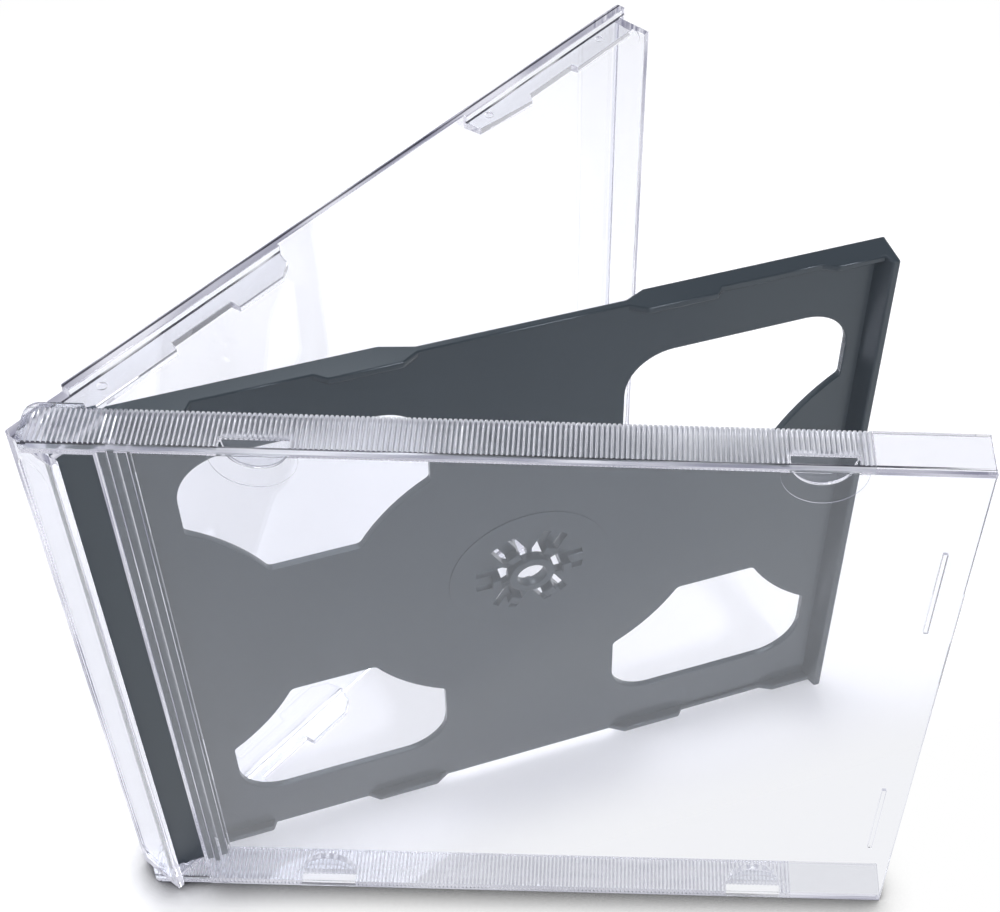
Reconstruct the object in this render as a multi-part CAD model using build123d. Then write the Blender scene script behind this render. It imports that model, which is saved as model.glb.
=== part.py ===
"""Double jewel case for discs, standing open on its long edge, in millimetres.
Every piece is drawn in the closed case: X from the spine to the opening edge,
Y from the front cover to the back cover, Z along the hinge. The back cover and
the tray are then turned about their hinges and the whole is set on the origin.
"""
import math
import os

from build123d import *

os.makedirs("parts", exist_ok=True)

# closed case
case_length = 142.0
case_height = 124.5
case_depth = 10.4
skin = 1.2
wall = 1.3
slide_gap = 0.1
tray_gap = 0.3
pin_gap = 0.05

# hinges and the pose it stands in
cover_axis = (5.5, 5.5)
tray_axis = (4.7, 3.1)
cover_pin_r = 1.1
tray_pin_r = 0.7
pin_length = 1.2
cover_angle = 52.0
tray_angle = 31.7

# front cover
side_clear = 0.5
arm_left = 0.5
arm_clear = 1.0
arm_room = 1.9
arm_chamfer = 1.0
arm_front = (1.5, 2.4)
panel_start = 12.0
panel_bevel = (0.5, 0.7)
rib_pitch = 0.75
rib_start = 1.5
patch_length = 17.5
rib_height = 0.4
rib_crest = 0.4
rib_front = 1.1
rib_corner = (1.2, 1.7)
margin_drop = 0.15
tab_near = 34.7
tab_far = 24.8
tab_radius = 5.0
tab_front = 3.2
window_length = 10.4
witness_radius = 6.5
witness_depth = 0.15
stop_rib = (13.6, 14.8, 2.7)
guide_rib = (16.6, 17.2, 1.8)
far_rib_in = 4.8
far_rib_w = 0.8
far_rib_h = 0.6
far_rib_z = (19.0, 38.8)

# back cover
notch_length = 10.7
ledge_step = 0.6
end_round = 0.5
rail_near = ((12.0, 4.9), (27.6, 4.9), (28.1, 3.3), (40.1, 3.3), (40.4, 5.1), (49.6, 5.1), (52.4, 3.2))
rail_far = ((43.7, 3.5), (31.6, 5.0), (30.4, 3.4), (19.0, 3.4), (18.7, 4.7))
segment_near = 53.4
segment_far = 44.2
end_wall_in = 1.4
end_wall_gap = 0.5
pad_radius = 2.0
pad_height = 0.15
pad_place = (4.8, 2.9)
lug_front = 1.5
lug_end = 11.0
spine_border = 2.5
spine_ends = 5.0
spine_recess = 0.3
spine_corner = 3.0
nub_radius = 0.8
nub_depth = 0.4
nubs_near = ((15.2, 2.3),)
nubs_far = ((39.7, 1.9), (9.3, 2.0))

# disc tray
tray_left = 2.2
back_gap = 0.15
web_height = 3.1
web_thick = 1.35
rim_thick = 1.3
shell_thick = 1.4
hub_shift = 1.15
block_gap = 1.2
block_right = 13.4
block_swing = 5.9
end_gap = 1.3
end_thick = 2.7
end_lip = 1.3
rim_high = 1.8
rim_mid = 1.6
rim_low = 0.5
rim_near = ((10.5, rim_mid), (11.5, 0), (30.0, 0), (32.0, rim_mid), (43.8, rim_mid), (46.4, 0))
rim_far = ((44.8, 0), (42.0, rim_high), (30.1, rim_high), (29.0, rim_low), (11.4, rim_low), (8.9, rim_high))
foot_slope_near = 5.0
foot_slope_far = 3.4

# tray windows, measured from the hub
win_in = 16.9
win_border = 2.9
win_low = 17.1
win_edge = 12.2
win_hub_r = 34.2
win_end_r = 37.8
win_end_in = 21.6
win_round = 8.5
win_corner = 1.2

# hub rosette
hub_bore = 2.75
hub_button = 4.3
button_rise = 1.65
button_depth = 2.1
finger_count = 6
finger_tip = 5.75
finger_width = 2.3
slot_width = 1.4
slot_end = 9.9
spoke_width = 1.0
spoke_end = 7.0
tooth_out = 7.3
tooth_lip = 7.5
tooth_rise = 1.9
lip_length = 0.6
hub_gap = 0.25
seat_radius = 15.0
seat_step = 0.15

mid_z = case_height / 2
side_inner = case_height - wall
inner_top = side_inner - slide_gap
inner_face = inner_top - wall
tray_top = inner_face - tray_gap
back_inner = case_depth - skin
side_depth = back_inner - ledge_step - side_clear
arm_depth = case_depth - arm_clear
arm_end = notch_length - arm_room
rib_count = round((case_length - patch_length - rib_start) / rib_pitch)
rib_end = rib_start + rib_count * rib_pitch
tabs = (tab_near, case_length - tab_far)
end_outer = case_length - end_wall_in
end_inner = end_outer - wall
tray_right = end_inner - tray_gap
tray_back = back_inner - back_gap
web_front = back_inner - web_height
web_back = web_front + web_thick
block_front = skin + block_gap
end_front = skin + end_gap
end_foot = tray_right - end_thick
end_crest = tray_right - end_lip
hub_x = (block_right + end_foot) / 2 + hub_shift
win_out = end_foot - win_border - hub_x
win_high = tray_top - mid_z - win_edge
win_end_x = win_out + win_end_in


def block(x0, x1, y0, y1, z0, z1):
    """Box between two corners."""
    return Pos(x0, y0, z0) * Box(x1 - x0, y1 - y0, z1 - z0, align=(Align.MIN, Align.MIN, Align.MIN))


def outline(points):
    """Flat face inside a closed row of points."""
    return make_face(Polyline(*points, close=True))


def rise(sketch, z0, z1):
    """Sketch in X and Y drawn up from z0 to z1."""
    return Pos(0, 0, z0) * extrude(sketch, z1 - z0)


def deepen(sketch, y0, y1):
    """Sketch in X and Z drawn back from y0 to y1."""
    front = Plane(origin=(0, y0, 0), x_dir=(1, 0, 0), z_dir=(0, -1, 0))
    return extrude(front * sketch, y0 - y1)


def both(shape):
    """Shape together with its mirror image across the middle of the hinge."""
    return shape + mirror(shape, about=Plane.XY.offset(mid_z))


def rounded(sketch, x, y, radius):
    """Round the one corner of a sketch that lies nearest to x, y."""
    near = min(sketch.vertices(), key=lambda v: (v.X - x) ** 2 + (v.Y - y) ** 2)
    return fillet(near, radius)


def turned(shape, axis, angle):
    """Shape turned about an upright axis."""
    x, y = axis
    return Pos(x, y, 0) * Rot(0, 0, angle) * Pos(-x, -y, 0) * shape


def front_cover():
    """Clear front cover with ribbed side walls and hinge arms."""
    bevel_x, bevel_y = panel_bevel
    panel = outline([(panel_start, 0), (case_length, 0), (case_length, skin),
                     (panel_start + bevel_x, skin), (panel_start, skin - bevel_y)])
    cover = rise(panel, 0, case_height)
    front_x, front_y = arm_front
    side = outline([(front_x, 0), (case_length, 0), (case_length, side_depth),
                    (arm_end + arm_chamfer, side_depth), (arm_end, arm_depth),
                    (arm_left, arm_depth), (arm_left, front_y)])
    side = rounded(side, arm_left, arm_depth, 2.2)
    side = rounded(side, arm_left, front_y, 0.8)
    side = rounded(side, front_x, 0, 0.8)
    cut_x, cut_y = rib_corner
    ribbed = outline([(rib_start, rib_front), (rib_end, rib_front), (rib_end, side_depth),
                      (rib_start + cut_x, side_depth), (rib_start, side_depth - cut_y)])
    valley = case_height - rib_height
    profile = [(rib_start, side_inner + wall / 2)]
    for i in range(rib_count):
        x = rib_start + i * rib_pitch
        profile.append((x, valley))
        profile.append((x + (rib_pitch - rib_crest) / 2, case_height))
        profile.append((x + (rib_pitch + rib_crest) / 2, case_height))
    profile.append((rib_end, valley))
    profile.append((rib_end, side_inner + wall / 2))
    ribs = deepen(outline(profile), 0, side_depth) & rise(ribbed, side_inner, case_height)
    side_wall = rise(side, side_inner, valley) + ribs
    side_wall += block(rib_end, case_length, 0, side_depth, valley, case_height)
    side_wall += block(front_x + 0.9, rib_end, 0, rib_front, valley, case_height - margin_drop)
    for x in tabs:
        side_wall -= block(x - window_length / 2, x + window_length / 2, skin, tab_front,
                           side_inner - 1, case_height + 1)
        moon = Pos(x, side_inner) * Circle(tab_radius) & Pos(x, side_inner - 10) * Rectangle(20, 20.6)
        side_wall += deepen(moon, tab_front, tab_front + skin)
    px, py = cover_axis
    side_wall += Pos(px, py, side_inner - pin_length) * Cylinder(
        cover_pin_r, pin_length, align=(Align.CENTER, Align.CENTER, Align.MIN))
    cover += both(side_wall)
    x0, x1, depth = stop_rib
    cover += block(x0, x1, skin, depth, wall, side_inner)
    x0, x1, depth = guide_rib
    cover += block(x0, x1, skin, depth, wall, side_inner)
    x0 = case_length - far_rib_in
    cover += both(block(x0, x0 + far_rib_w, skin, skin + far_rib_h, *far_rib_z))
    for x in tabs:
        moon = Pos(x, side_inner) * Circle(witness_radius) & Pos(x, side_inner - 10) * Rectangle(20, 20)
        cover -= both(deepen(moon, skin - witness_depth, skin))
    return cover


def back_cover():
    """Clear back cover with spine, end wall and side rails."""
    panel = outline([(0, back_inner), (case_length, back_inner), (case_length, case_depth), (0, case_depth)])
    for x in (0, case_length):
        panel = rounded(panel, x, case_depth, end_round)
    cover = rise(panel, 0, case_height)
    rail = outline([(0, back_inner), (0, lug_front), (lug_end, lug_front)]
                   + [(x, back_inner - y) for x, y in rail_near] + [(segment_near, back_inner)])
    right = case_length - segment_far
    far_rail = outline([(right, back_inner)] + [(case_length - x, back_inner - y) for x, y in rail_far]
                       + [(end_inner, back_inner - rail_far[-1][1]), (end_inner, back_inner)])
    px, py = cover_axis
    tx, ty = tray_axis
    rail -= Pos(px, py) * Circle(cover_pin_r + pin_gap)
    rail -= Pos(tx, ty) * Circle(tray_pin_r + pin_gap)
    rails = rise(rail, inner_face, inner_top) + rise(far_rail, inner_face, inner_top)
    dimples = [(x, back_inner - y) for x, y in nubs_near]
    dimples += [(case_length - x, back_inner - y) for x, y in nubs_far]
    for x, y in dimples:
        rails -= Pos(x, y, inner_top - nub_depth) * Cylinder(
            nub_radius, 2 * nub_depth, align=(Align.CENTER, Align.CENTER, Align.MIN))
    ledge_front = back_inner - ledge_step
    rails += block(notch_length, segment_near, ledge_front, back_inner, inner_face, case_height)
    rails += block(right, case_length, ledge_front, back_inner, inner_face, case_height)
    cover += both(rails)
    cover += block(0, wall, 0, back_inner, case_height - inner_top, inner_top)
    cover += block(end_inner, end_outer, skin + end_wall_gap, back_inner, case_height - inner_top, inner_top)
    side_plane = Plane(origin=(0, 0, 0), x_dir=(0, 1, 0), z_dir=(1, 0, 0))
    y, drop = pad_place
    pad = Pos(y, case_height - drop) * Circle(pad_radius) & Pos(y, mid_z) * Rectangle(
        2 * pad_radius, 2 * inner_top - case_height)
    cover += both(Pos(end_inner - pad_height, 0, 0) * extrude(side_plane * pad, pad_height + wall / 2))
    pocket_width = back_inner - spine_border
    pocket = Pos((spine_border + back_inner) / 2, mid_z) * RectangleRounded(
        pocket_width, case_height - 2 * spine_ends, min(spine_corner, 0.45 * pocket_width))
    cover -= extrude(side_plane * pocket, spine_recess)
    cover -= both(block(-1, notch_length, -1, case_depth + 1, inner_top, case_height + 1))
    return cover


def swing_tray():
    """Black tray that holds a disc on each face."""
    bottom = case_height - tray_top
    end_cap = outline([(tray_left, block_front), (block_right, block_front), (block_right, web_front),
                       (block_right, tray_back), (tray_left, tray_back)])
    tx, ty = tray_axis
    swing = Pos(tx, ty) * Circle(block_swing) + Pos(tx + 20, ty) * Rectangle(40, 40)
    end_cap = end_cap & swing
    hollow = outline([(tray_left + shell_thick, block_front + shell_thick),
                      (block_right - shell_thick, block_front + shell_thick),
                      (block_right - shell_thick, case_depth), (tray_left + shell_thick, case_depth)])
    tray = rise(end_cap, bottom, tray_top)
    tray -= rise(hollow, bottom + shell_thick, tray_top - shell_thick)
    tray += block(block_right - shell_thick, end_foot + 1, web_front, web_back, bottom, tray_top)
    end = outline([(end_foot, web_front), (end_crest, end_front), (tray_right, end_front),
                   (tray_right, tray_back), (end_crest, tray_back), (end_foot, web_back)])
    tray += rise(end, bottom, tray_top)
    x0 = block_right - shell_thick
    near_rim = outline([(x0, web_back)] + [(x0, web_front - rim_mid)]
                       + [(x0 + x, web_front - y) for x, y in rim_near] + [(x0 + rim_near[-1][0], web_back)])
    near_rim += outline([(end_crest - rim_far[0][0], web_back)]
                        + [(end_crest - x, web_front - y) for x, y in rim_far]
                        + [(end_crest, web_front - rim_high), (end_crest, web_back)])
    foot_near = x0 + rim_near[-1][0]
    foot_far = end_crest - rim_far[0][0]
    far_rim = outline([(x0, web_front), (foot_near, web_front), (foot_near, web_back),
                       (foot_near - foot_slope_near, tray_back), (x0, tray_back)])
    far_rim += outline([(end_crest, tray_back), (foot_far + foot_slope_far, tray_back), (foot_far, web_back),
                        (foot_far, web_front), (end_crest, web_front)])
    tray += both(rise(near_rim + far_rim, tray_top - rim_thick, tray_top))
    tray += both(Pos(tx, ty, tray_top) * Cylinder(
        tray_pin_r, pin_length, align=(Align.CENTER, Align.CENTER, Align.MIN)))

    window = Pos((win_in + win_out) / 2, (win_low + win_high) / 2) * Rectangle(
        win_out - win_in, win_high - win_low)
    window -= Circle(win_hub_r)
    window -= Pos(win_end_x, 0) * Circle(win_end_r)
    hub_corner = math.sqrt(win_hub_r ** 2 - win_in ** 2)
    hub_low = math.sqrt(win_hub_r ** 2 - win_low ** 2)
    end_corner = math.sqrt(win_end_r ** 2 - win_end_in ** 2)
    end_low = win_end_x - math.sqrt(win_end_r ** 2 - win_low ** 2)
    window = rounded(window, win_out, win_high, min(win_round, win_high - end_corner - 2 * win_corner))
    window = rounded(window, win_in, win_high, min(win_round, win_high - hub_corner - 2 * win_corner))
    window = rounded(window, win_in, hub_corner, win_corner)
    window = rounded(window, hub_low, win_low, win_corner)
    window = rounded(window, end_low, win_low, win_corner)
    window = rounded(window, win_out, end_corner, win_corner)
    windows = window + mirror(window, about=Plane.YZ)
    windows = windows + mirror(windows, about=Plane.XZ)
    tray -= deepen(Pos(hub_x, mid_z) * windows, web_front - 1, web_back + 1)
    return hub(tray)


def star(bar, count, start):
    """Sketch repeated evenly round the origin, the first copy turned by start degrees."""
    return Sketch() + [Rot(0, 0, start + i * 360 / count) * bar for i in range(count)]


def hub(tray):
    """Add the rosette: a pierced button on spokes, and sprung fingers with a tooth on each face."""
    centre = Pos(hub_x, mid_z)
    tray += deepen(centre * Circle(seat_radius), web_front - seat_step, web_back + seat_step)
    slot_start = finger_tip / 2
    slot = Pos((slot_start + slot_end) / 2, (finger_width + slot_width) / 2) * Rectangle(
        slot_end - slot_start, slot_width)
    slots = star(slot + mirror(slot, about=Plane.XZ), finger_count, 0) + Circle(finger_tip)
    tray -= deepen(centre * slots, 0, case_depth)

    front = web_front - tooth_rise
    rear = back_inner - hub_gap
    profile = outline([(finger_tip, front), (tooth_lip, front), (tooth_lip, front + lip_length),
                       (tooth_out, front + lip_length), (tooth_out, rear - lip_length),
                       (tooth_lip, rear - lip_length), (tooth_lip, rear), (finger_tip, rear)])
    ring = revolve(Pos(hub_x, 0, mid_z) * profile, Axis((hub_x, 0, mid_z), (0, 1, 0)))
    finger = Pos(tooth_lip, 0) * Rectangle(2 * tooth_lip, finger_width)
    tray += ring & deepen(centre * star(finger, finger_count, 0), 0, case_depth)

    button = Circle(hub_button) - Circle(hub_bore)
    tray += deepen(centre * button, web_front - button_rise, web_front - button_rise + button_depth)
    spoke_start = (hub_bore + hub_button) / 2
    spoke = Pos((spoke_start + spoke_end) / 2, 0) * Rectangle(spoke_end - spoke_start, spoke_width)
    tray += deepen(centre * star(spoke, finger_count, 180 / finger_count), web_front, web_back)
    return tray


front = front_cover()
back = turned(back_cover(), cover_axis, cover_angle)
tray = turned(swing_tray(), tray_axis, -tray_angle)
tray = turned(tray, cover_axis, cover_angle)

# the tray axis goes round with the back cover
turn = math.radians(cover_angle)
gap_x = tray_axis[0] - cover_axis[0]
gap_y = tray_axis[1] - cover_axis[1]
tray_at = (cover_axis[0] + gap_x * math.cos(turn) - gap_y * math.sin(turn),
           cover_axis[1] + gap_x * math.sin(turn) + gap_y * math.cos(turn))

bounds = Compound([front, back, tray]).bounding_box()
origin = ((bounds.min.X + bounds.max.X) / 2, (bounds.min.Y + bounds.max.Y) / 2)
to_origin = Pos(-origin[0], -origin[1], -bounds.min.Z)

for name, shape in (("front_cover", front), ("back_cover", back), ("swing_tray", tray)):
    placed = to_origin * shape
    solids = placed.solids()
    export_step(solids[0] if len(solids) == 1 else Compound(solids), "parts/" + name + ".step")
    print(name, len(solids), "solid", round(sum(s.volume for s in solids), 1), "mm3")

print("cover hinge", [round(cover_axis[i] - origin[i], 3) for i in (0, 1)])
print("tray hinge", [round(tray_at[i] - origin[i], 3) for i in (0, 1)])
size = bounds.max - bounds.min
print("size", [round(v, 2) for v in (size.X, size.Y, size.Z)])
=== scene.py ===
import bpy
import bmesh
import math
import numpy as np
from mathutils import Matrix


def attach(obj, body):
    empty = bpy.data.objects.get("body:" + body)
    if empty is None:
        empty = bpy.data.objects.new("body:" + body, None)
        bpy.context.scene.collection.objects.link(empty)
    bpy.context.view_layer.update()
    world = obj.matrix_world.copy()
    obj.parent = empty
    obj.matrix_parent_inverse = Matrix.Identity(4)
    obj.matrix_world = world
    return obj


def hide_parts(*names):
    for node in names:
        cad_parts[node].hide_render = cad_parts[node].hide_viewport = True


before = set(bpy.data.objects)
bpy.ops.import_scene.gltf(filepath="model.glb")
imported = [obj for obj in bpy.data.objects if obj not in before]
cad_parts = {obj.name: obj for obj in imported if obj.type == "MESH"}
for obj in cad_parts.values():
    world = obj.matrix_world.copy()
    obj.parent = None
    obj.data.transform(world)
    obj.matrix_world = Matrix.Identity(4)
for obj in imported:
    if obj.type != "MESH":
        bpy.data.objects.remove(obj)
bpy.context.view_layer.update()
scene = bpy.context.scene
scene.view_settings.view_transform = "Standard"

MM = 0.001
MIDDLE = 62.25 * MM                            # half the case's height, where its halves mirror
COVER_PIN = (-64.727 * MM, -51.329 * MM, 0)    # foot of the hinge axis of the two covers
TRAY_PIN = (-63.3 * MM, -53.4 * MM, 0)         # foot of the tray's hinge axis
TRAY_FACING = (0.347, -0.938, 0)               # direction that the tray's front face looks in
OPENING = 52                                   # degrees from the front cover to the back cover


def hex_linear(code):
    """Linear RGBA of an sRGB hex colour: (c + 0.055) / 1.055 to the power 2.4, c / 12.92 near black."""
    c = np.array([int(code[i:i + 2], 16) for i in (1, 3, 5)]) / 255
    lin = np.where(c <= 0.04045, c / 12.92, ((c + 0.055) / 1.055) ** 2.4)
    return (*lin.tolist(), 1.0)


def add(tree, kind, feeds=None, **settings):
    """Add one node, give it its settings, and set or link what feeds its inputs."""
    node = tree.nodes.new(kind)
    for name, value in settings.items():
        setattr(node, name, value)
    for name, value in (feeds or {}).items():
        socket = node.inputs[name]
        if isinstance(value, bpy.types.NodeSocket):
            tree.links.new(value, socket)
        else:
            socket.default_value = value
    return node


def material(name):
    """Empty node material and its tree."""
    mat = bpy.data.materials.new(name)
    mat.use_nodes = True
    mat.node_tree.nodes.clear()
    return mat, mat.node_tree


def painted_edge_lines(tree, place, height, streak, lean):
    """Mask of painted dark lines, about 0.4 mm wide, in place of refraction at the moulded edges: one
    along the crown of each long rim, 4.45 mm across the wall from the hinge axis, and one at the
    foot of the step below it. The wall leans by lean degrees from the x axis. The lines break where
    the streaks of the painted glow are brightest."""
    turn = math.radians(lean)
    offset = add(tree, "ShaderNodeVectorMath", {0: place.outputs["Object"], 1: COVER_PIN},
                 operation="SUBTRACT")
    depth = add(tree, "ShaderNodeVectorMath", {0: offset.outputs["Vector"],
                                               1: (-math.sin(turn), math.cos(turn), 0)},
                operation="DOT_PRODUCT")
    away = add(tree, "ShaderNodeMath", {0: depth.outputs["Value"]}, operation="ABSOLUTE")
    rim = add(tree, "ShaderNodeMath", {0: away.outputs["Value"], 1: 4.45 * MM, 2: 0.2 * MM},
              operation="COMPARE")
    crown = add(tree, "ShaderNodeMath", {0: height.outputs["Value"], 1: 61.75 * MM},
                operation="GREATER_THAN")
    upper = add(tree, "ShaderNodeMath", {0: rim.outputs["Value"], 1: crown.outputs["Value"]},
                operation="MULTIPLY")
    foot = add(tree, "ShaderNodeMath", {0: depth.outputs["Value"], 1: 3.1 * MM, 2: 0.18 * MM},
               operation="COMPARE")
    step = add(tree, "ShaderNodeMath", {0: height.outputs["Value"], 1: 61.0 * MM, 2: 0.2 * MM},
               operation="COMPARE")
    lower = add(tree, "ShaderNodeMath", {0: foot.outputs["Value"], 1: step.outputs["Value"]},
                operation="MULTIPLY")
    line = add(tree, "ShaderNodeMath", {0: upper.outputs["Value"], 1: lower.outputs["Value"]},
               operation="MAXIMUM")
    broken = add(tree, "ShaderNodeMapRange", {"Value": streak.outputs["Fac"], "From Min": 0.54,
                                              "From Max": 0.66, "To Min": 1.0, "To Max": 0.0})
    return add(tree, "ShaderNodeMath", {0: line.outputs["Value"], 1: broken.outputs["Result"]},
               operation="MULTIPLY")


def painted_trapped_light(tree, streak, path):
    """Painted glow in place of light caught in the wall, and the mask of the paths that it stands for:
    those with more than two reflections or eight surfaces, which the wall would pass on to its far
    edge. The painted glow is an emission, lavender grey and near white in streaks."""
    layer = add(tree, "ShaderNodeMapRange", {"Value": streak.outputs["Fac"], "From Min": 0.35,
                                             "From Max": 0.65, "To Min": 0.0, "To Max": 1.0})
    glint = add(tree, "ShaderNodeMix", {"Factor": layer.outputs["Result"], "A": hex_linear("#9696A8"),
                                        "B": hex_linear("#F4F4FC")}, data_type="RGBA")
    # painted glow: an emission, no lamp, standing in for light carried along the wall
    light = add(tree, "ShaderNodeEmission", {"Color": glint.outputs["Result"], "Strength": 1.0})
    bounced = add(tree, "ShaderNodeMath", {0: path.outputs["Glossy Depth"], 1: 2.5},
                  operation="GREATER_THAN")
    long = add(tree, "ShaderNodeMath", {0: path.outputs["Ray Depth"], 1: 8.5},
               operation="GREATER_THAN")
    spent = add(tree, "ShaderNodeMath", {0: bounced.outputs["Value"], 1: long.outputs["Value"]},
                operation="MAXIMUM")
    return light, spent


def moulded_clear_polystyrene(name, rib_rough, lean):
    """General purpose polystyrene, injection moulded and clear: sharp gloss, IOR 1.59, faint flow
    ripples, and a lavender cast where light runs along the wall, partly from its blueing dye and
    partly painted glow on paths too long to follow. Handling has dulled small patches of it. The
    crests of the grip ribs, the outermost 0.45 mm along the long edges, are rougher by rib_rough
    and a shade greyer by painted shade. Painted dark edge lines, in place of refraction at the
    moulded edges, and the streaks of the painted glow run along the wall, which leans by lean
    degrees from the x axis."""
    mat, tree = material(name)
    place = add(tree, "ShaderNodeTexCoord")
    path = add(tree, "ShaderNodeLightPath")

    # gloss: handling marks every 3 mm, and the rougher rib crests, which end 54.2 mm along x
    handling = add(tree, "ShaderNodeTexNoise", {"Vector": place.outputs["Object"], "Scale": 1 / (3 * MM),
                                                "Detail": 2.0, "Roughness": 0.6})
    gloss = add(tree, "ShaderNodeMapRange", {"Value": handling.outputs["Fac"], "From Min": 0.58,
                                             "From Max": 0.8, "To Min": 0.0, "To Max": 0.016})
    parts = add(tree, "ShaderNodeSeparateXYZ", {"Vector": place.outputs["Object"]})
    level = add(tree, "ShaderNodeMath", {0: parts.outputs["Z"], 1: MIDDLE}, operation="SUBTRACT")
    height = add(tree, "ShaderNodeMath", {0: level.outputs["Value"]}, operation="ABSOLUTE")
    crest = add(tree, "ShaderNodeMapRange", {"Value": height.outputs["Value"], "From Min": 61.78 * MM,
                                             "From Max": 61.88 * MM, "To Min": 0.0, "To Max": rib_rough})
    grip = add(tree, "ShaderNodeMath", {0: parts.outputs["X"], 1: 54.2 * MM}, operation="LESS_THAN")
    ribs = add(tree, "ShaderNodeMath", {0: crest.outputs["Result"], 1: grip.outputs["Value"]},
               operation="MULTIPLY")
    finish = add(tree, "ShaderNodeMath", {0: gloss.outputs["Result"], 1: ribs.outputs["Value"]},
                 operation="ADD")

    # colour: water clear, greyed on the rib crests by painted shade, and painted nearly black in dark
    # lines at the moulded edges, in place of their refraction
    rib_shade_mask = add(tree, "ShaderNodeMapRange", {"Value": ribs.outputs["Value"], "From Min": 0.0,
                                             "From Max": 0.2, "To Min": 0.0, "To Max": 1.0})
    # painted shade: #DCDEE4 on the rib crests
    clear_and_rib_shade = add(tree, "ShaderNodeMix", {"Factor": rib_shade_mask.outputs["Result"], "A": hex_linear("#F1F2F6"),
                                        "B": hex_linear("#DCDEE4")}, data_type="RGBA")
    along = add(tree, "ShaderNodeMapping", {"Vector": place.outputs["Object"],
                                            "Rotation": (0, 0, math.radians(lean)),
                                            "Scale": (20 * MM, 0.5 * MM, 20 * MM)}, vector_type="TEXTURE")
    streak = add(tree, "ShaderNodeTexNoise", {"Vector": along.outputs["Vector"], "Scale": 1.0,
                                              "Detail": 1.0})
    painted_edge_mask = painted_edge_lines(tree, place, height, streak, lean)
    # painted dark edge lines: #1A1A20 in the mask, standing for refraction at the moulded edges
    tinted = add(tree, "ShaderNodeMix", {"Factor": painted_edge_mask.outputs["Value"],
                                         "A": clear_and_rib_shade.outputs["Result"],
                                         "B": hex_linear("#1A1A20")}, data_type="RGBA")

    # surface: ripples 16 mm long; shadows pass through, as light does through a thin clear wall
    flow = add(tree, "ShaderNodeTexNoise", {"Vector": place.outputs["Object"], "Scale": 1 / (16 * MM),
                                            "Detail": 1.0, "Roughness": 0.5})
    ripple = add(tree, "ShaderNodeBump", {"Height": flow.outputs["Fac"], "Strength": 0.04,
                                          "Distance": 0.3 * MM})
    clear = add(tree, "ShaderNodeBsdfPrincipled", {
        "Base Color": tinted.outputs["Result"], "Roughness": finish.outputs["Value"], "IOR": 1.585,
        "Transmission Weight": 1.0, "Specular Tint": hex_linear("#F0F5FE"),
        "Normal": ripple.outputs["Normal"]})
    # painted glow: on the spent paths an emission replaces the clear wall's shading
    light, spent = painted_trapped_light(tree, streak, path)
    inside = add(tree, "ShaderNodeMixShader", {"Fac": spent.outputs["Value"], 1: clear.outputs["BSDF"],
                                               2: light.outputs["Emission"]})
    thin = add(tree, "ShaderNodeBsdfTransparent", {"Color": hex_linear("#FAFAFC")})
    wall = add(tree, "ShaderNodeMixShader", {"Fac": path.outputs["Is Shadow Ray"],
                                             1: inside.outputs["Shader"], 2: thin.outputs["BSDF"]})
    dye = add(tree, "ShaderNodeVolumeAbsorption", {"Color": hex_linear("#DEDEF4"), "Density": 6.0})
    add(tree, "ShaderNodeOutputMaterial", {"Surface": wall.outputs["Shader"],
                                           "Volume": dye.outputs["Volume"]})
    return mat


def spark_finished_black_polystyrene(name):
    """Black high impact polystyrene from a fine spark-eroded mould: satin, with a faint grain. The
    real grit is too fine to show, so the grain is drawn at 0.5 mm. Wear evens out over 24 mm."""
    mat, tree = material(name)
    place = add(tree, "ShaderNodeTexCoord")
    grain = add(tree, "ShaderNodeTexNoise", {"Vector": place.outputs["Object"], "Scale": 1 / (0.5 * MM),
                                             "Detail": 1.0, "Roughness": 0.5})
    wear = add(tree, "ShaderNodeTexNoise", {"Vector": place.outputs["Object"], "Scale": 1 / (24 * MM),
                                            "Detail": 2.0, "Roughness": 0.55})
    tone = add(tree, "ShaderNodeMix", {"Factor": wear.outputs["Fac"], "A": hex_linear("#3A4147"),
                                       "B": hex_linear("#3D444A")}, data_type="RGBA")
    sheen = add(tree, "ShaderNodeMapRange", {"Value": wear.outputs["Fac"], "From Min": 0.3,
                                             "From Max": 0.7, "To Min": 0.22, "To Max": 0.24})
    relief = add(tree, "ShaderNodeBump", {"Height": grain.outputs["Fac"], "Strength": 0.05,
                                          "Distance": 0.01 * MM})
    body = add(tree, "ShaderNodeBsdfPrincipled", {
        "Base Color": tone.outputs["Result"], "Roughness": sheen.outputs["Result"], "IOR": 1.55,
        "Specular Tint": hex_linear("#E4EEF8"), "Normal": relief.outputs["Normal"]})
    add(tree, "ShaderNodeOutputMaterial", {"Surface": body.outputs["BSDF"]})
    return mat


def across(face):
    """For each edge of a face, the distance to the nearest edge that doesn't touch it, metres."""
    a = np.array([loop.vert.co for loop in face.loops])
    run = np.roll(a, -1, axis=0) - a
    n = len(a)
    gap = np.empty((n, n))
    for i in range(n):
        offset = a[i] - a
        along = np.clip((offset * run).sum(1) / (run ** 2).sum(1), 0, 1)
        gap[i] = np.linalg.norm(offset - along[:, None] * run, axis=1)
    ends = np.minimum(gap, np.roll(gap, -1, axis=0))
    way = np.minimum(ends, ends.T)
    for step in (-1, 0, 1):
        way[np.arange(n), (np.arange(n) + step) % n] = 1.0
    return way.min(axis=1)


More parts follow.
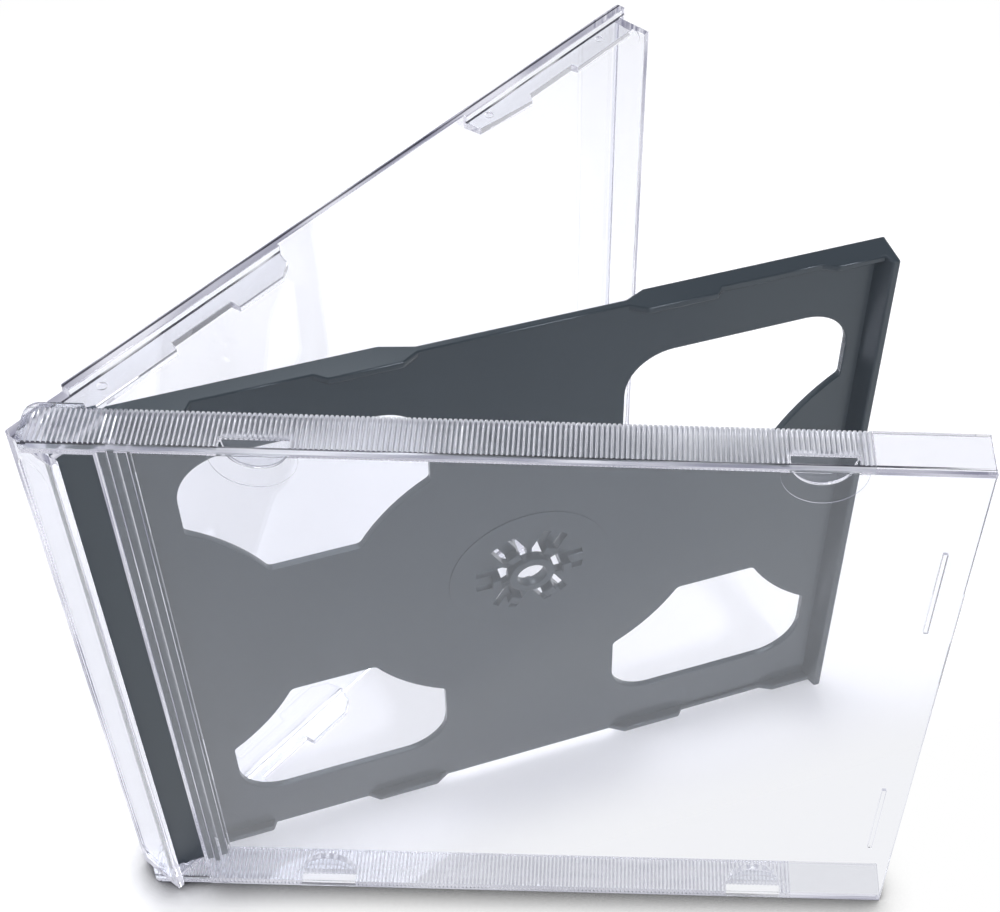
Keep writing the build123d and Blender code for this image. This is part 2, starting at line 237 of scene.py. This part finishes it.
def rounding(shape, most, sharp):
    """Rounding of each edge, metres: most at a sharp edge, less where it would take more than a
    third of the way across a face, or where a corner would carry it past two fifths of an edge
    beside it. Two roundings a and b that meet at an angle t shift along each other's edges by
    (b + a cos t) / sin t and (a + b cos t) / sin t. The wider of a pair that shifts too far
    shrinks by a fifth at a time."""
    third, two_fifths, shrink, flat = 0.33, 0.4, 0.8, 1e-3
    size = np.array([edge.calc_length() for edge in shape.edges])
    wide = np.where(sharp, most, 0.0)
    one, two, turn = [], [], []
    for face in shape.faces:
        room = across(face)
        for i, loop in enumerate(face.loops):
            wide[loop.edge.index] = min(wide[loop.edge.index], third * room[i])
            one.append(loop.link_loop_prev.edge.index)
            two.append(loop.edge.index)
            angle = loop.calc_angle()
            turn.append(angle if loop.is_convex else 2 * math.pi - angle)
    one, two, turn = np.array(one), np.array(two), np.array(turn)
    sine, cosine = np.sin(turn), np.cos(turn)
    sine = np.where(np.abs(sine) < flat, np.where(sine < 0, -flat, flat), sine)
    for _ in range(120):
        a, b = wide[one], wide[two]
        shift_one, shift_two = (b + a * cosine) / sine, (a + b * cosine) / sine
        plain = (a == 0) | (b == 0)
        shift_one = np.where(plain, np.abs(b / sine), shift_one)
        shift_two = np.where(plain, np.abs(a / sine), shift_two)
        far = (shift_one > two_fifths * size[one]) | (shift_two > two_fifths * size[two])
        over = far & (a + b > 0.002 * MM)
        if not over.any():
            break
        wide[np.unique(np.where(a >= b, one, two)[over])] *= shrink
    return wide


def crossings(mesh):
    """Points, metres, at which the outline of one of the mesh's faces crosses itself."""
    co = np.empty(len(mesh.vertices) * 3)
    mesh.vertices.foreach_get("co", co)
    co = co.reshape(-1, 3)
    found = []
    for face in mesh.polygons:
        n = len(face.vertices)
        if n < 5:
            continue
        a = co[list(face.vertices)]
        run = np.roll(a, -1, axis=0) - a
        normal = np.array(face.normal)
        apart = a[None] - a[:, None]
        scale = np.cross(run[:, None], run[None]) @ normal
        scale = np.where(np.abs(scale) < 1e-15, np.inf, scale)
        x = (np.cross(apart, run[None]) @ normal) / scale
        y = (np.cross(apart, run[:, None]) @ normal) / scale
        step = (np.arange(n)[None] - np.arange(n)[:, None]) % n
        hit = (x > 0) & (x < 1) & (y > 0) & (y < 1) & (step > 1) & (step < n - 1)
        found += [a[i] + x[i, j] * run[i] for i, j in zip(*np.nonzero(hit))]
    return found


def shade_turned(mesh):
    """Shade small faces and strips under 0.3 mm wide smooth, which are turned or rounded, and leave
    the broad ones flat. A strip's width is about its area over half its outline."""
    mesh.set_sharp_from_angle(angle=math.radians(50))
    length = [(mesh.vertices[a].co - mesh.vertices[b].co).length
              for a, b in (edge.vertices for edge in mesh.edges)]
    for face in mesh.polygons:
        around = sum(length[mesh.loops[i].edge_index] for i in face.loop_indices)
        narrow = face.area < 0.15 * MM * around
        face.use_smooth = len(face.vertices) < 5 and (narrow or face.area < 5 * MM ** 2)


def moulding(node, body, name, mat, round_mm, turned):
    """A CAD node's moulding with rounded edges: its mesh is copied, its doubles merged and its flat
    faces joined, and each outward edge sharper than 25 degrees is rolled by round_mm, or by what
    its faces have room for. Where a rolled face's outline would cross itself, the edges within
    0.4 mm stay sharp. The tray's turned faces are then shaded smooth."""
    shape = bmesh.new()
    shape.from_mesh(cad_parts[node].data)
    bmesh.ops.remove_doubles(shape, verts=shape.verts, dist=0.002 * MM)
    bmesh.ops.dissolve_limit(shape, angle_limit=math.radians(0.4), verts=shape.verts, edges=shape.edges)
    share = shape.edges.layers.float.new("bevel_weight_edge")
    shape.edges.index_update()
    sharp = [edge.is_convex and edge.calc_face_angle(0.0) > math.radians(25) for edge in shape.edges]
    wide = rounding(shape, round_mm * MM, sharp)
    wide[wide < 0.003 * MM] = 0
    start = np.array([edge.verts[0].co for edge in shape.edges])
    run = np.array([edge.verts[1].co for edge in shape.edges]) - start
    mesh = bpy.data.meshes.new(name)
    obj = bpy.data.objects.new(name, mesh)
    scene.collection.objects.link(obj)
    roll = obj.modifiers.new("edge rounding", "BEVEL")
    roll.limit_method = "WEIGHT"
    roll.width = round_mm * MM
    roll.segments = 2
    roll.use_clamp_overlap = False
    for _ in range(5):
        for edge, size in zip(shape.edges, wide):
            edge[share] = size / (round_mm * MM)
        shape.to_mesh(mesh)
        obj.update_tag()
        bpy.context.view_layer.update()
        rolled = obj.evaluated_get(bpy.context.evaluated_depsgraph_get())
        spots = crossings(rolled.data)
        for spot in spots:
            along = np.clip(((spot - start) * run).sum(1) / (run ** 2).sum(1), 0, 1)
            wide[np.linalg.norm(start + along[:, None] * run - spot, axis=1) < 0.4 * MM] = 0
        if not spots:
            break
    shape.free()
    mesh.materials.append(mat)
    if turned:
        rolled = obj.evaluated_get(bpy.context.evaluated_depsgraph_get())
        obj.data = bpy.data.meshes.new_from_object(rolled)
        obj.modifiers.remove(roll)
        shade_turned(obj.data)
    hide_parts(node)
    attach(obj, body)
    return obj


def dress(node, mat):
    """Give a CAD node's slots their finish."""
    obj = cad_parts[node]
    if not obj.material_slots:
        obj.data.materials.append(mat)
    for place in obj.material_slots:
        place.material = mat


clear_cover = moulded_clear_polystyrene("clear moulded polystyrene cover", 0.28, 0)
clear_back = moulded_clear_polystyrene("clear moulded polystyrene back", 0.0, OPENING)
black_tray = spark_finished_black_polystyrene("black satin polystyrene tray")
for node, body, slot, mat, round_mm, turned in (
        ("front_cover", "cover", "clear_cover", clear_cover, 0.12, False),
        ("back_cover", "back", "clear_back", clear_back, 0.15, False),
        ("swing_tray", "tray", "black_tray", black_tray, 0.28, True)):
    dress(node, mat)
    moulding(node, body, node + "_moulding", mat, round_mm, turned)


def floor_plane():
    """Flat square grid, 4 m wide: x and y run evenly, z is 0.05 mm down, a paper's unevenness,
    which leaves air under the case's lower edge."""
    n = 5
    u, v = np.meshgrid(np.linspace(-2, 2, n), np.linspace(-2, 2, n))
    points = np.stack([u.ravel(), v.ravel(), np.full(n * n, -0.05 * MM)], 1)
    i = np.arange(n * n).reshape(n, n)
    faces = np.stack([i[:-1, :-1], i[:-1, 1:], i[1:, 1:], i[1:, :-1]], -1).reshape(-1, 4)
    mesh = bpy.data.meshes.new("studio_floor")
    mesh.from_pydata(points.tolist(), [], faces.tolist())
    obj = bpy.data.objects.new("studio_floor", mesh)
    scene.collection.objects.link(obj)
    return obj


def white_sweep():
    """White paper floor: pale to the lamps and held near white where it is seen. It is wholly white
    beyond the case's shade, from 130 to 300 mm out, and painted white from 2 to 20 mm in front of
    the tray, a painted light that takes out the shade there. A painted contact shadow darkens it
    within a few millimetres of what stands on it."""
    mat, tree = material("matt white paper")
    place = add(tree, "ShaderNodeTexCoord")
    path = add(tree, "ShaderNodeLightPath")
    fibre = add(tree, "ShaderNodeTexNoise", {"Vector": place.outputs["Object"], "Scale": 1 / (2 * MM)})
    paper = add(tree, "ShaderNodeMix", {"Factor": fibre.outputs["Fac"], "A": hex_linear("#F8F8FA"),
                                        "B": hex_linear("#FBFBFC")}, data_type="RGBA")
    matt = add(tree, "ShaderNodeBsdfDiffuse", {"Color": paper.outputs["Result"]})
    glow = add(tree, "ShaderNodeEmission", {"Color": hex_linear("#FFFFFF"), "Strength": 0.2})
    shaded = add(tree, "ShaderNodeAddShader", {0: matt.outputs["BSDF"], 1: glow.outputs["Emission"]})

    # where the floor is wholly white: far out, and by painted light in front of the tray
    away = add(tree, "ShaderNodeVectorMath", {0: place.outputs["Object"]}, operation="LENGTH")
    beyond = add(tree, "ShaderNodeMapRange", {"Value": away.outputs["Value"], "From Min": 130 * MM,
                                              "From Max": 300 * MM, "To Min": 0.0, "To Max": 1.0},
                 interpolation_type="SMOOTHSTEP")
    # painted light: an emission whitens the floor in front of the tray, over its shade
    offset = add(tree, "ShaderNodeVectorMath", {0: place.outputs["Object"], 1: TRAY_PIN},
                 operation="SUBTRACT")
    ahead = add(tree, "ShaderNodeVectorMath", {0: offset.outputs["Vector"], 1: TRAY_FACING},
                operation="DOT_PRODUCT")
    front = add(tree, "ShaderNodeMapRange", {"Value": ahead.outputs["Value"], "From Min": 2 * MM,
                                             "From Max": 20 * MM, "To Min": 0.0, "To Max": 1.0},
                interpolation_type="SMOOTHSTEP")
    white_and_painted_light = add(tree, "ShaderNodeMath", {0: beyond.outputs["Result"], 1: front.outputs["Result"]},
               operation="MAXIMUM")
    white = add(tree, "ShaderNodeEmission", {"Color": hex_linear("#FFFFFF"), "Strength": 1.0})
    seen = add(tree, "ShaderNodeMixShader", {"Fac": white_and_painted_light.outputs["Value"], 1: shaded.outputs["Shader"],
                                             2: white.outputs["Emission"]})

    # what the plastic shows of it, and what the eye sees, with a painted contact shadow
    sight = add(tree, "ShaderNodeMath", {0: path.outputs["Is Transmission Ray"],
                                         1: path.outputs["Is Glossy Ray"]}, operation="MAXIMUM")
    other = add(tree, "ShaderNodeMixShader", {"Fac": sight.outputs["Value"], 1: matt.outputs["BSDF"],
                                              2: seen.outputs["Shader"]})
    # painted contact shadow: a dark matt, #303034, mixed in within 7 mm of what stands on the floor
    near = add(tree, "ShaderNodeAmbientOcclusion", {"Distance": 7 * MM}, samples=5)
    contact = add(tree, "ShaderNodeMapRange", {"Value": near.outputs["AO"], "From Min": 0.5,
                                               "From Max": 0.92, "To Min": 0.0, "To Max": 1.0})
    shadow = add(tree, "ShaderNodeBsdfDiffuse", {"Color": hex_linear("#303034")})
    direct = add(tree, "ShaderNodeMixShader", {"Fac": contact.outputs["Result"],
                                               1: shadow.outputs["BSDF"], 2: seen.outputs["Shader"]})
    sweep = add(tree, "ShaderNodeMixShader", {"Fac": path.outputs["Is Camera Ray"],
                                              1: other.outputs["Shader"], 2: direct.outputs["Shader"]})
    add(tree, "ShaderNodeOutputMaterial", {"Surface": sweep.outputs["Shader"]})
    return mat


floor_plane().data.materials.append(white_sweep())


def studio_world():
    """White cyclorama to the eye. Upwards it falls to a grey ceiling through the plastic, and to a
    dark one in what the plastic reflects. Matt surfaces get a cool, even fill."""
    world = bpy.data.worlds.new("white studio")
    world.use_nodes = True
    tree = world.node_tree
    tree.nodes.clear()
    place = add(tree, "ShaderNodeTexCoord")
    path = add(tree, "ShaderNodeLightPath")
    parts = add(tree, "ShaderNodeSeparateXYZ", {"Vector": place.outputs["Generated"]})
    low = add(tree, "ShaderNodeMapRange", {"Value": parts.outputs["Z"], "From Min": 0.05,
                                           "From Max": 0.5, "To Min": 0.0, "To Max": 1.0},
              interpolation_type="SMOOTHSTEP")
    room = add(tree, "ShaderNodeMix", {"Factor": low.outputs["Result"], "A": hex_linear("#FFFFFF"),
                                       "B": hex_linear("#2C2C34")}, data_type="RGBA")
    mirrored = add(tree, "ShaderNodeBackground", {"Color": room.outputs["Result"], "Strength": 1.0})
    high = add(tree, "ShaderNodeMapRange", {"Value": parts.outputs["Z"], "From Min": 0.4,
                                            "From Max": 0.8, "To Min": 0.0, "To Max": 1.0},
               interpolation_type="SMOOTHSTEP")
    veil = add(tree, "ShaderNodeMix", {"Factor": high.outputs["Result"], "A": hex_linear("#FFFFFF"),
                                       "B": hex_linear("#5E5E68")}, data_type="RGBA")
    through = add(tree, "ShaderNodeBackground", {"Color": veil.outputs["Result"], "Strength": 1.0})
    white = add(tree, "ShaderNodeBackground", {"Color": hex_linear("#FFFFFF"), "Strength": 1.0})
    fill = add(tree, "ShaderNodeBackground", {"Color": hex_linear("#F6F7FF"), "Strength": 0.48})
    gloss = add(tree, "ShaderNodeMixShader", {"Fac": path.outputs["Is Glossy Ray"],
                                              1: fill.outputs["Background"],
                                              2: mirrored.outputs["Background"]})
    lit = add(tree, "ShaderNodeMixShader", {"Fac": path.outputs["Is Transmission Ray"],
                                            1: gloss.outputs["Shader"],
                                            2: through.outputs["Background"]})
    seen = add(tree, "ShaderNodeMixShader", {"Fac": path.outputs["Is Camera Ray"],
                                             1: lit.outputs["Shader"], 2: white.outputs["Background"]})
    add(tree, "ShaderNodeOutputWorld", {"Surface": seen.outputs["Shader"]})
    scene.world = world


studio_world()


def placed(obj, axes, place):
    """Set an object's x, y and z axes, the columns of axes, and its place, metres, and show it."""
    m = np.eye(4)
    m[:3, :3] = axes
    m[:3, 3] = place
    obj.matrix_world = Matrix(m.tolist())
    scene.collection.objects.link(obj)


def softbox(name, place, aim, size, watts, tint):
    """Square lamp of the given size at place, facing aim, all in metres."""
    lamp = bpy.data.lights.new(name, "AREA")
    lamp.shape = "SQUARE"
    lamp.size = size
    lamp.energy = watts
    lamp.color = hex_linear(tint)[:3]
    z = np.array(place) - np.array(aim)
    z /= np.linalg.norm(z)
    x = np.cross((0, 0, 1), z)
    x /= np.linalg.norm(x)
    placed(bpy.data.objects.new(name, lamp), np.stack([x, np.cross(z, x), z], 1), place)


softbox("back softbox", (-0.15, 0.2, 0.75), (0, 0, 0.03), 0.45, 3.3, "#FFFFFF")
softbox("front softbox", (0.45, -0.62, 0.75), (0, 0, 0.05), 0.12, 2.3, "#FAFBFF")


def photo_camera():
    """The photograph's camera, from the fit of the case's straight edges: pitch 47.61, yaw -1.24 and
    roll -2.6 degrees, focal length 1.785 picture widths, and a centre to the right of the middle,
    because the picture was cropped."""
    pitch, yaw, roll = 0.830913, -0.021644, -0.045308
    width, height, focal = 1000, 912, 1.78453
    centre_x, centre_y = 618.964, 457.362
    turn_z = np.array([[math.cos(yaw), -math.sin(yaw), 0], [math.sin(yaw), math.cos(yaw), 0], [0, 0, 1]])
    turn_x = np.array([[1, 0, 0], [0, math.cos(pitch), math.sin(pitch)],
                       [0, -math.sin(pitch), math.cos(pitch)]])
    turn_y = np.array([[math.cos(roll), 0, math.sin(roll)], [0, 1, 0],
                       [-math.sin(roll), 0, math.cos(roll)]])
    right, forward, up = (turn_z @ turn_x @ turn_y).T
    lens = bpy.data.cameras.new("photo_camera")
    lens.sensor_width = 36.0
    lens.lens = lens.sensor_width * focal
    lens.shift_x = (width / 2 - centre_x) / width
    lens.shift_y = (centre_y - height / 2) / width
    lens.clip_start = 0.01
    camera = bpy.data.objects.new("photo_camera", lens)
    placed(camera, np.stack([right, up, -forward], 1), np.array([13.369, -228.418, 313.977]) * MM)
    scene.camera = camera


photo_camera()
